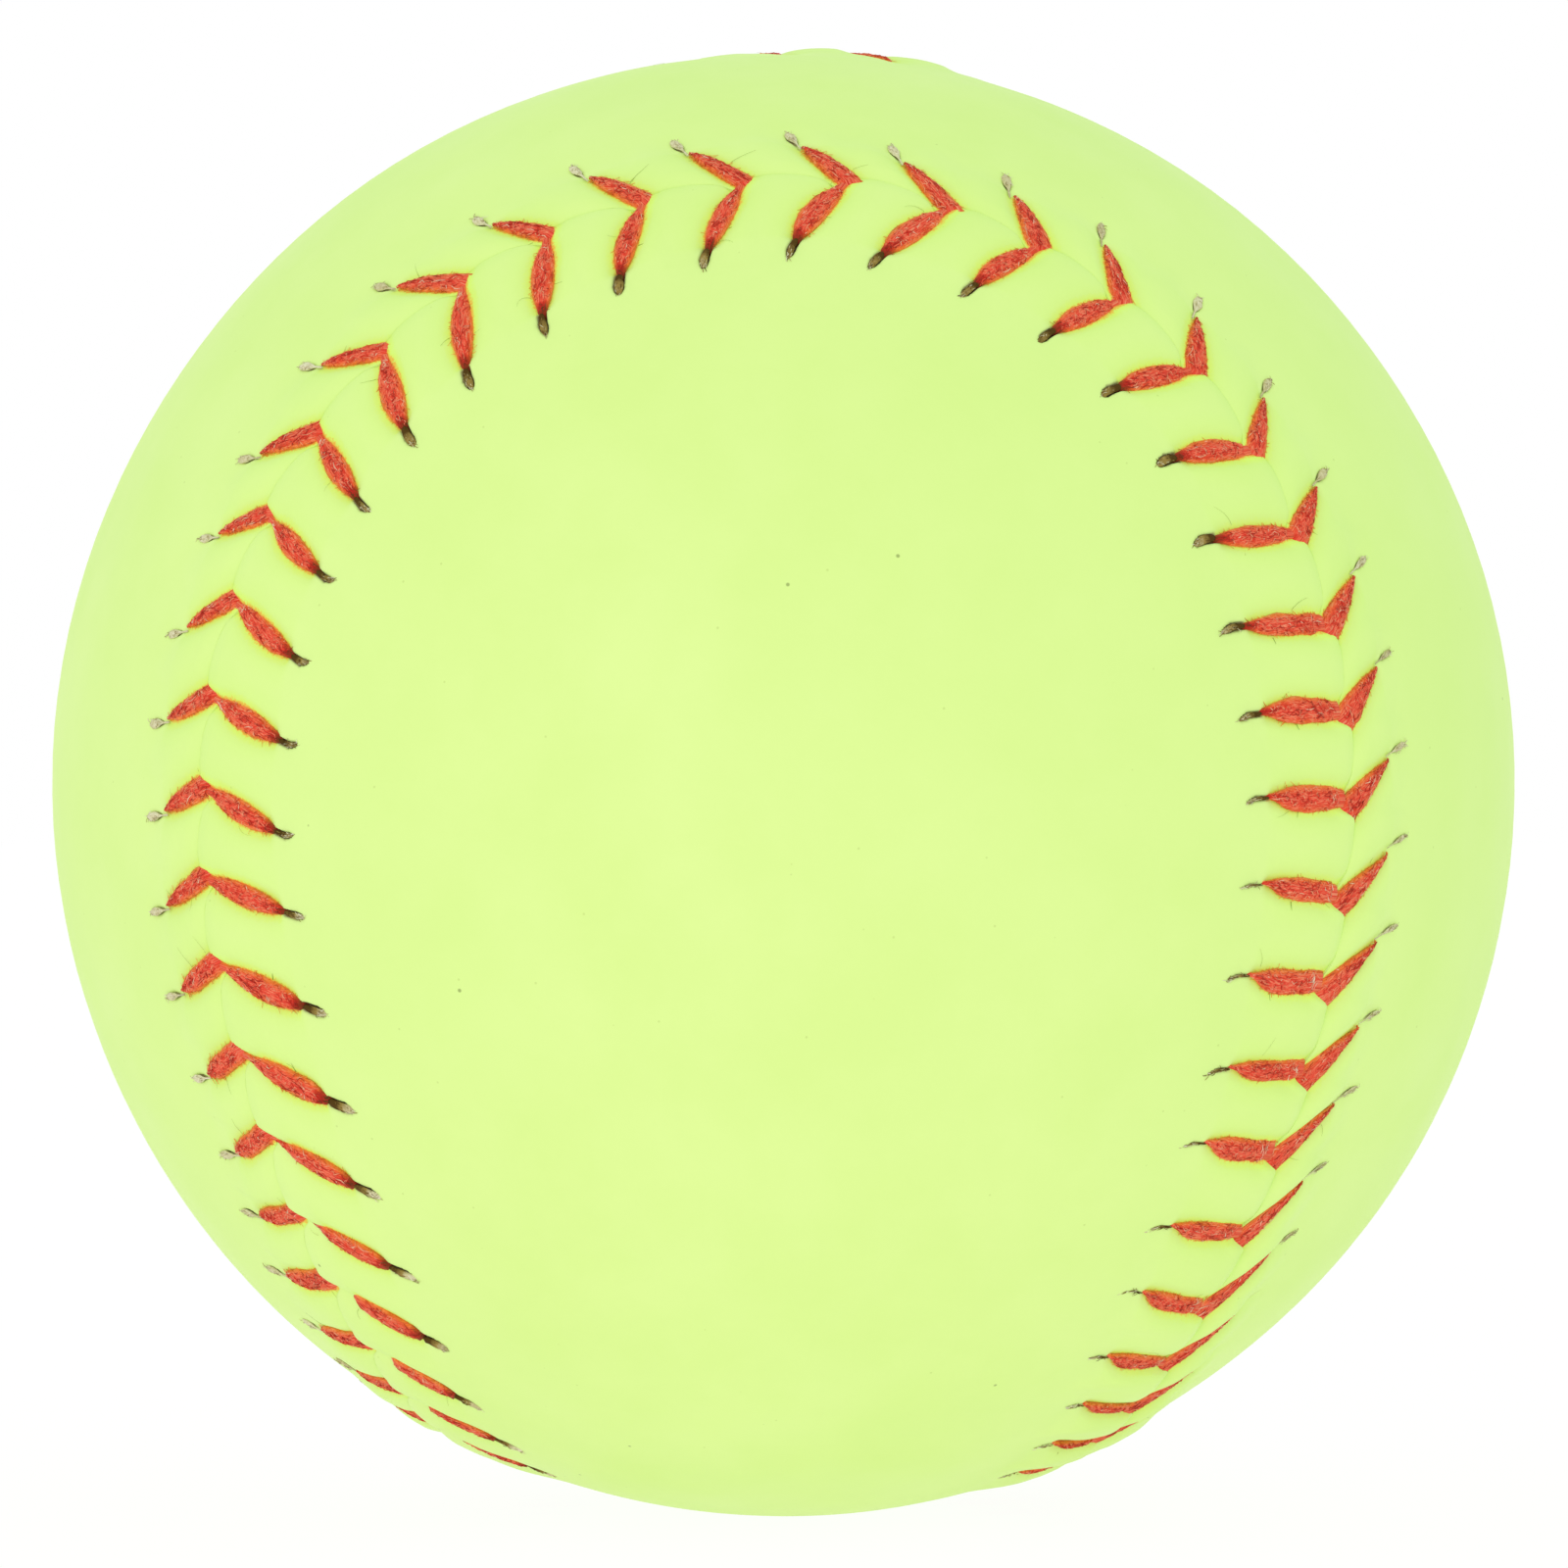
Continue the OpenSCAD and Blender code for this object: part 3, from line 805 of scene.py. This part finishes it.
def strays(which, per_leg, seed):
    """Long fine hairs from the legs over the leather, and a short pulled streak by legs of the second panel;
    both are dark green lines, painted shade of fine hairs and creases on the leather.
    """
    r = np.random.default_rng(seed)
    size, j, side, first = hair_legs(which, per_leg)
    shade_streak = (np.arange(len(j))[:, None] % per_leg == 0) & (side < 0)
    share0 = np.where(shade_streak, r.normal(0.5, 0.04, size), first + (0.95 - first) * r.uniform(0.1, 1, size))
    hand = np.where(shade_streak, 1, r.choice([-1, 1], size, p=[0.6, 0.4]))
    long = np.where(shade_streak, r.uniform(0.25, 0.8, size), r.uniform(0.5, 2.0, size))
    n = 7
    turn = r.normal(0, 0.5, size) + r.normal(0, 0.9, size) * np.linspace(0, 1, n)
    turn = np.where(shade_streak, 0.3, 1) * turn
    along = np.cumsum(np.sin(turn), 1) / n * long
    away = np.cumsum(np.cos(turn), 1) / n * long
    points = lying(side, j, share0 + along / LEG_MEAN, hand * (table_half(side, share0) * 0.97 + away))
    thick = np.where(shade_streak, r.uniform(0.018, 0.032, size), r.uniform(0.008, 0.013, size))
    verts, faces = tubes(points, thick * np.linspace(1, 0.4, n) * MM)
    return verts, faces, np.repeat(r.uniform(0.0, 0.6, size), n * SIDES), np.full(len(verts), 2.5)


def join(parts):
    """Puts several (points, faces, values...) together."""
    points, faces, start = [], [], 0
    for p in parts:
        points.append(p[0])
        faces.append(np.where(p[1] >= 0, p[1] + start, -1))
        start += len(p[0])
    rest = [np.concatenate([p[k] for p in parts]) for k in range(2, len(parts[0]))]
    return (np.concatenate(points), np.concatenate(faces), *rest)


def thread(name, which):
    body = thread_body(which)
    hairs = [fibres(which, 112, 70 + which), fringe(which, 76, 90 + which), strays(which, 2, 110 + which)]
    hairs = [(*h, np.zeros((len(h[0]), 3))) for h in hairs]
    points, faces, tone, edge, sway = join([body, *hairs])
    return make_mesh(name, points, faces, {"tone": tone, "edge": edge, "sway": sway})


# Felt in the needle holes
# Along a tuft, from its far end to the leg: place and half width
TUFT = {
    1: ((-0.85, 0.02), (-0.78, 0.14), (-0.5, 0.27), (-0.1, 0.29), (0.25, 0.22), (0.5, 0.12), (0.75, 0.06),
        (1.5, 0.05)),
    -1: ((-0.98, 0.02), (-0.88, 0.12), (-0.6, 0.22), (-0.2, 0.25), (0.2, 0.25), (0.5, 0.24), (0.8, 0.2),
         (1.0, 0.1))}
TUFT_LEVEL = {1: -0.05, -1: -0.14}
TUFT_TONE = {1: (0.5, 0.85), -1: (-0.3, 0.3)}
WISP_TONE = {1: (0.2, 1.1), -1: (-0.9, 1.1)}
# painted shade: the second panel's felt darkens by the leg, in the dark of its hole
TUFT_DIM = {1: 0.0, -1: -1.0}  # how much darker it is by the leg
TUFT_SINKS = 0.4  # where the cover is calm or the hole is closed, on the first panel
TUFT_SIDES = 10
WISPS = 26  # loose hairs in one hole


def tuft_place(side, j, p, q):
    """Run and across of points given along hole j and across it."""
    dx, dy = hole_axis(side, j)
    return HOLE_RUN[side][j] + j * PITCH + p * dx - q * dy, HOLE_ACROSS[side][j] + p * dy + q * dx


def tuft_tone(side, j, p, tone):
    """A tone made darker by the leg, with painted shade, and paler at the outer end."""
    tone = tone + TUFT_DIM[side] * (1 - 0.7 * FOOT[j]) * np.clip(p / 0.5, 0, 1)
    return tone + PALE_END[side][j] * (1 - smooth(-0.4, 0.1, p))


def pads(side, r, long, wide, level):
    """The body of each tuft: points, faces and tone."""
    profile, girth = (np.array(row)[:, None] for row in zip(*TUFT[side]))
    j = NUMBER[:, None, None]
    a = FULL * np.arange(TUFT_SIDES) / TUFT_SIDES
    p = long[j] * profile * np.ones(TUFT_SIDES)
    p = np.where(p < 0, p * HOLE_SHORT[side][j], p)
    girth = girth * wide[j]
    q = girth * np.cos(a) * (1 + r.normal(0, 0.1, p.shape)) + side * HOLE_BEND[side][j] * np.clip(-p, 0, None)
    height = level[j] + 0.5 * girth * np.sin(a) + r.normal(0, 0.015, q.shape)
    points = place(*tuft_place(side, j, p, q), height).reshape(-1, 3)
    begin = np.arange(STITCHES) * len(profile) * TUFT_SIDES
    end = begin + (len(profile) - 1) * TUFT_SIDES
    caps = [triangles(begin, begin + t + 1, begin + t) for t in range(1, TUFT_SIDES - 1)]
    caps += [triangles(end, end + t, end + t + 1) for t in range(1, TUFT_SIDES - 1)]
    faces = np.concatenate([lofts(STITCHES, len(profile), TUFT_SIDES), *caps])
    return points, faces, tuft_tone(side, j, p, r.uniform(*TUFT_TONE[side], STITCHES)[j]).ravel()


def wisps(side, r, wide, level):
    """Loose hairs of the felt: points, faces and tone."""
    j = np.repeat(NUMBER, WISPS)[:, None]
    t = np.linspace(0, 1, 4)
    p0 = r.uniform(TUFT[side][0][0], 0.45, j.shape)
    p0 = np.where(p0 < 0, p0 * HOLE_SHORT[side][j], p0)
    q0 = r.uniform(-0.8, 0.8, j.shape) * through(TUFT[side], p0) * wide[j]
    bend = r.normal(0, 0.45, j.shape)
    size = r.uniform(0.15, 0.42, j.shape)
    way = r.choice([-1, 1], j.shape, p=[0.65, 0.35])
    p = p0 + t * (way * size * np.cos(bend))
    q = q0 + t * (size * np.sin(bend)) + side * HOLE_BEND[side][j] * np.clip(-p, 0, None)
    height = level[j] + 0.08 + r.uniform(-0.04, 0.04, j.shape) + 0.05 * np.sin(math.pi * t)
    thick = r.uniform(0.016, 0.028, j.shape) * np.array([0.8, 1, 1, 0.5])
    points, faces = tubes(place(*tuft_place(side, j, p, q), height), thick * MM)
    tone = tuft_tone(side, j, p0, r.uniform(*WISP_TONE[side], j.shape))
    return points, faces, np.repeat(tone, 4 * SIDES)


def tufts(name, side, seed):
    r = np.random.default_rng(seed)
    long = r.uniform(0.88, 1.12, STITCHES)
    wide = HOLE_FAT[side] * r.uniform(0.9, 1.1, STITCHES)
    sinks = np.maximum((NUMBER > 49) & (NUMBER < 61), FOOT) * (side > 0)
    level = TUFT_LEVEL[side] - TUFT_SINKS * sinks
    points, faces, tone = join([pads(side, r, long, wide, level), wisps(side, r, wide, level)])
    return make_mesh(name, points, faces, {"tone": tone})


# Materials
def linear(*rgb):
    """Linear colour from screen values, which are all above 10 here, where the curve is one power."""
    return *(((c / 255 + 0.055) / 1.055) ** 2.4 for c in rgb), 1


class Look:
    """The nodes of a material or of the world, put together from its shader back."""

    def __init__(self, owner, shader="Principled BSDF", **settings):
        self.owner = owner
        owner.use_nodes = True
        self.nodes, self.links = owner.node_tree.nodes, owner.node_tree.links
        self.shader = self.nodes[shader]
        for key, value in settings.items():
            self.shader.inputs[key.replace("_", " ")].default_value = value

    def feed(self, socket, value):
        if isinstance(value, bpy.types.NodeSocket):
            self.links.new(value, socket)
        else:
            socket.default_value = value

    def add(self, kind, inputs, **props):
        """Adds a node, feeds its inputs and gives back its outputs."""
        node = self.nodes.new(kind)
        for key, value in props.items():
            setattr(node, key, value)
        for key, value in inputs.items():
            self.feed(node.inputs[key], value)
        return node.outputs

    def spot(self):
        return self.add("ShaderNodeTexCoord", {})["Object"]

    def given(self, name, kind="Fac"):
        """A value that the points of the mesh hold."""
        return self.add("ShaderNodeAttribute", {}, attribute_name=name)[kind]

    def noise(self, scale, detail=2.0, rough=0.5, vector=None):
        inputs = {"Vector": vector or self.spot(), "Scale": scale, "Detail": detail, "Roughness": rough}
        return self.add("ShaderNodeTexNoise", inputs)["Fac"]

    def voronoi(self, scale, feature="F1"):
        return self.add("ShaderNodeTexVoronoi", {"Vector": self.spot(), "Scale": scale}, feature=feature)

    def stretch(self, vector, x, y, z, turn=0.0):
        inputs = {"Vector": vector, "Scale": (x, y, z), "Rotation": (0, 0, turn)}
        return self.add("ShaderNodeMapping", inputs)["Vector"]

    def span(self, value, lo, hi, to_lo=0.0, to_hi=1.0):
        inputs = {"Value": value, "From Min": lo, "From Max": hi, "To Min": to_lo, "To Max": to_hi}
        return self.add("ShaderNodeMapRange", inputs, clamp=True)["Result"]

    def sum(self, operation, a, b):
        return self.add("ShaderNodeMath", {0: a, 1: b}, operation=operation)["Value"]

    def mix(self, share, a, b):
        return self.add("ShaderNodeMix", {0: share, 6: a, 7: b}, data_type="RGBA")[2]

    def colour(self, value):
        self.feed(self.shader.inputs["Base Color"], value)

    def bump(self, height, depth, strength=1.0, below=None):
        inputs = {"Height": height, "Distance": depth * MM, "Strength": strength}
        if below:
            inputs["Normal"] = below
        normal = self.add("ShaderNodeBump", inputs)["Normal"]
        self.feed(self.shader.inputs["Normal"], normal)
        return normal


def coat(name, shine, **settings):
    return Look(bpy.data.materials.new(name), Specular_IOR_Level=shine, **settings)


# Specks on the leather: cells per metre, share of cells, size in cells, strength, colour
SPECKS = ((450, 0.8, 0.045, 0.3, linear(176, 204, 96)), (300, 0.16, 0.045, 0.6, linear(104, 122, 48)))


def leather_look():
    k = coat("leather", 0.32, Sheen_Weight=0.0)
    colour = k.mix(k.span(k.noise(90, 4, 0.6), 0.35, 0.65), linear(223, 250, 149), linear(227, 252, 155))
    colour = k.mix(k.span(k.noise(22, 2), 0.4, 0.7, 0, 0.35), colour, linear(220, 250, 147))
    # painted shade: a deeper green towards the legs, as in the valleys between them
    near = k.given("shade_and_wrinkles")
    colour = k.mix(k.sum("MULTIPLY", near, 0.6), colour, linear(215, 250, 118))
    # beside a leg: the red shines on to the leather, then a band of pure yellow-green
    gap = k.span(k.given("touch"), 0, 1, HALO_REACH, 0)
    gap = k.sum("ADD", gap, k.span(k.noise(5200, 3, 0.7), 0.25, 0.75, -0.16, 0.16))
    colour = k.mix(k.span(gap, 0.05, 0.6, 0.85, 0), colour, linear(224, 252, 92))
    colour = k.mix(k.span(gap, 0.0, 0.15, 0.85, 0), colour, linear(246, 176, 56))
    # painted shade along the joint: the leather turns a darker green there
    colour = k.mix(k.sum("MULTIPLY", k.given("crease_shade"), 0.55), colour, linear(150, 186, 64))
    for size, rare, radius, strength, tint in SPECKS:
        cell = k.voronoi(size)
        chance = k.add("ShaderNodeSeparateColor", {0: cell["Color"]})[0]
        dot = k.span(cell["Distance"], radius * 0.6, radius, strength, 0)
        colour = k.mix(k.sum("MULTIPLY", dot, k.sum("LESS_THAN", chance, rare)), colour, tint)
    # in a needle hole the leather turns tan, and dark brown where the hole is deep: the tan is the hole's
    # colour, the dark brown is painted shade
    hole = k.mix(k.span(k.noise(5200, 3, 0.7), 0.35, 0.7), linear(84, 64, 32), linear(128, 108, 62))
    colour = k.mix(k.span(k.given("pit"), 0.05, 0.42), colour, linear(166, 158, 108))
    k.colour(k.mix(k.span(k.given("pit"), 0.5, 0.9), colour, hole))
    k.feed(k.shader.inputs["Roughness"], k.span(k.noise(160, 3), 0.3, 0.7, 0.50, 0.62))
    grain = k.sum("MULTIPLY", k.voronoi(2600, "SMOOTH_F1")["Distance"], 0.6)
    fine = k.sum("MULTIPLY", k.noise(5200, 2, 0.6), 0.5)
    skin = k.bump(k.sum("ADD", grain, fine), 0.012, 0.6)
    wrinkle = k.noise(1, 3, 0.6, k.stretch(k.given("along", "Vector"), 260, 1500, 1))
    k.bump(k.sum("MULTIPLY", wrinkle, k.span(near, 0.02, 0.3)), 0.05, 0.5, skin)
    return k.owner


def thread_look():
    k = coat("thread", 0.2, Roughness=0.9, Sheen_Weight=0.25, Sheen_Roughness=0.5,
             Sheen_Tint=linear(255, 190, 150))
    sway = k.given("sway", "Vector")
    strands = k.noise(1, 3, 0.65, k.stretch(sway, 1.6, 16, 1))
    weave = k.sum("MAXIMUM", *(k.noise(1, 2, 0.6, k.stretch(sway, 3, 20, 1, turn)) for turn in (0.5, -0.6)))
    lines = k.sum("MULTIPLY", k.sum("SUBTRACT", strands, 0.5), 1.6)
    cross = k.sum("MULTIPLY", k.sum("SUBTRACT", weave, 0.57), 2.4)
    tone = k.sum("ADD", k.given("tone"), k.sum("ADD", lines, cross))
    # the dark brown tones come from the painted shadow at the holes
    colour = k.mix(k.span(tone, -1.2, -0.3), linear(84, 58, 20), linear(188, 38, 28))
    colour = k.mix(k.span(tone, -0.1, 0.4), colour, linear(245, 66, 47))
    colour = k.mix(k.span(tone, 0.4, 1.05), colour, linear(255, 172, 134))
    colour = k.mix(k.span(tone, 1.1, 1.5), colour, linear(255, 226, 200))
    colour = k.mix(k.sum("MULTIPLY", k.given("edge"), 0.55), colour, linear(255, 170, 56))
    # only the stray hairs on the leather have such a high edge value
    # they are dark green: painted shade of fine hairs and creases lying on the leather
    k.colour(k.mix(k.span(k.given("edge"), 1.8, 2.4), colour, linear(140, 172, 58)))
    k.bump(k.sum("ADD", strands, weave), 0.06, 0.7)
    return k.owner


def felt_look():
    k = coat("felt", 0.15, Roughness=0.95)
    tone = k.sum("ADD", k.given("tone"), k.span(k.noise(6000, 3, 0.7), 0.3, 0.7, -0.25, 0.25))
    # the dark browns are partly the felt's own tone and partly painted shade by the legs
    colour = k.mix(k.span(tone, -0.9, -0.1), linear(84, 60, 18), linear(156, 130, 68))
    colour = k.mix(k.span(tone, 0.0, 0.6), colour, linear(214, 204, 160))
    k.colour(k.mix(k.span(tone, 0.6, 1.1), colour, linear(244, 238, 212)))
    k.bump(k.noise(5000, 3, 0.7), 0.05, 0.7)
    return k.owner


def backing_look():
    k = coat("backing", 0.2, Roughness=0.95)
    k.colour(k.mix(k.span(k.noise(1800, 4, 0.7), 0.3, 0.7), linear(206, 198, 170), linear(240, 235, 218)))
    k.bump(k.noise(2400, 3, 0.7), 0.08, 0.6)
    return k.owner


def cement_look():
    k = coat("cement", 0.4)
    k.colour(k.mix(k.span(k.noise(160, 5, 0.6), 0.3, 0.7), linear(196, 172, 116), linear(226, 208, 158)))
    k.feed(k.shader.inputs["Roughness"], k.span(k.noise(240, 3), 0.3, 0.7, 0.3, 0.6))
    k.bump(k.noise(420, 4, 0.6), 0.12, 0.6)
    return k.owner


def yarn_look():
    k = coat("yarn", 0.2, Roughness=0.9)
    waves = []
    for turn in (0.0, 1.1, 2.2):
        inputs = {"Vector": k.stretch(k.spot(), 1, 1, 1, turn), "Scale": 420, "Distortion": 6}
        waves.append(k.add("ShaderNodeTexWave", inputs, bands_direction="X")["Fac"])
    over = k.sum("MAXIMUM", k.sum("MAXIMUM", waves[0], waves[1]), waves[2])
    k.colour(k.mix(k.span(over, 0.3, 1), linear(164, 158, 142), linear(232, 228, 214)))
    k.bump(over, 0.25, 0.7)
    return k.owner


def core_look():
    k = coat("core", 0.25, Roughness=0.85)
    cell = k.voronoi(520)["Distance"]
    colour = k.mix(k.span(cell, 0.0, 0.7), linear(176, 128, 82), linear(120, 82, 50))
    k.colour(k.mix(k.span(k.noise(900, 3, 0.7), 0.55, 0.7), colour, linear(84, 58, 40)))
    k.bump(cell, 0.2, 0.5)
    return k.owner


def dress(obj, material):
    obj.data.materials.clear()
    obj.data.materials.append(material)


# The pieces
leather, red, felt = leather_look(), thread_look(), felt_look()
for name, side, node in (("panel_a", 1, "cover_a"), ("panel_b", -1, "cover_b")):
    piece = panel(name, side)
    dress(piece, leather)
    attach(piece, "root")
    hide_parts(node)
for name, which, node in (("stitches_a", 0, "thread_a"), ("stitches_b", 1, "thread_b")):
    piece = thread(name, which)
    dress(piece, red)
    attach(piece, "root")
    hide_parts(node)
for name, side, seed in (("felt_a", 1, 5), ("felt_b", -1, 6)):
    piece = tufts(name, side, seed)
    dress(piece, felt)
    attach(piece, "root")
backing = backing_look()
for name, look in (("backing_a", backing), ("backing_b", backing), ("cement_coat", cement_look()),
                   ("yarn_winding", yarn_look()), ("core", core_look())):
    dress(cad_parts[name], look)

# Floor, light and camera
scene = bpy.context.scene
scene.view_settings.view_transform = "Standard"
FLOOR_RADIUS = 6
PAPER = (0.93, 0.93, 0.93, 1)
WHITE = (1, 1, 1, 1)
GLOW = 1.04
GLOW_SHARE = 0.58  # of the glow in the paper, and how much more the camera sees of it
GLOW_SEEN = 0.30
TENT = (0.868, 1, 0.855, 1)
TENT_STRENGTH = 0.90
LAMP_COLOUR = (1, 0.60, 1)
LAMP_AT = (-0.35, -1.35, 0.15)
LAMP_SIZE = 0.7
LAMP_POWER = 3.5
PHOTO = 1600  # the photograph and the ball's radius in it, in pixels
BALL_PX = 746
SENSOR = 36
AWAY = 11.2  # distance of the camera, in radii of the ball


def seen(k):
    """1 for what the camera sees, directly or in a shine, else 0."""
    rays = k.add("ShaderNodeLightPath", {})
    return k.sum("MAXIMUM", rays["Is Camera Ray"], rays["Is Glossy Ray"])


def blend(k, share, other, output):
    """Sends a mix of a look's own shader and another one to its output."""
    mixed = k.add("ShaderNodeMixShader", {0: share, 1: k.shader.outputs[0], 2: other})[0]
    k.feed(k.nodes[output].inputs["Surface"], mixed)


def paper_look():
    k = coat("paper", 0, Base_Color=PAPER, Roughness=1)
    glow = k.add("ShaderNodeEmission", {"Color": WHITE, "Strength": GLOW})[0]
    share = k.add("ShaderNodeMath", {0: seen(k), 1: GLOW_SEEN, 2: GLOW_SHARE}, operation="MULTIPLY_ADD")[0]
    blend(k, share, glow, "Material Output")
    return k.owner


def add_floor():
    spot = (0, 0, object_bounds()[0].z)
    bpy.ops.mesh.primitive_circle_add(vertices=64, radius=FLOOR_RADIUS, fill_type="NGON", location=spot)
    floor = bpy.context.object
    floor.name = "floor"
    dress(floor, paper_look())


def add_tent():
    """Soft light from all round; to the camera it is plain white."""
    k = Look(bpy.data.worlds.new("tent"), "Background", Color=TENT, Strength=TENT_STRENGTH)
    white = k.add("ShaderNodeBackground", {"Color": WHITE, "Strength": 1.0})[0]
    blend(k, seen(k), white, "World Output")
    scene.world = k.owner


def add_lamp():
    data = bpy.data.lights.new("key", "AREA")
    data.shape = "DISK"
    data.size = LAMP_SIZE
    data.energy = LAMP_POWER
    data.color = LAMP_COLOUR
    lamp = bpy.data.objects.new("key", data)
    scene.collection.objects.link(lamp)
    lamp.location = LAMP_AT
    lamp.rotation_euler = (-Vector(LAMP_AT)).to_track_quat("-Z", "Y").to_euler()


def add_camera():
    data = bpy.data.cameras.new("camera")
    data.sensor_width = SENSOR
    data.lens = BALL_PX * math.sqrt(AWAY ** 2 - 1) / PHOTO * SENSOR
    data.clip_start = 0.01
    data.clip_end = 50
    camera = bpy.data.objects.new("camera", data)
    scene.collection.objects.link(camera)
    camera.location = (0, -AWAY * BALL * MM, 0)
    camera.rotation_euler = (math.pi / 2, 0, 0)
    scene.camera = camera


add_floor()
add_tent()
add_lamp()
add_camera()
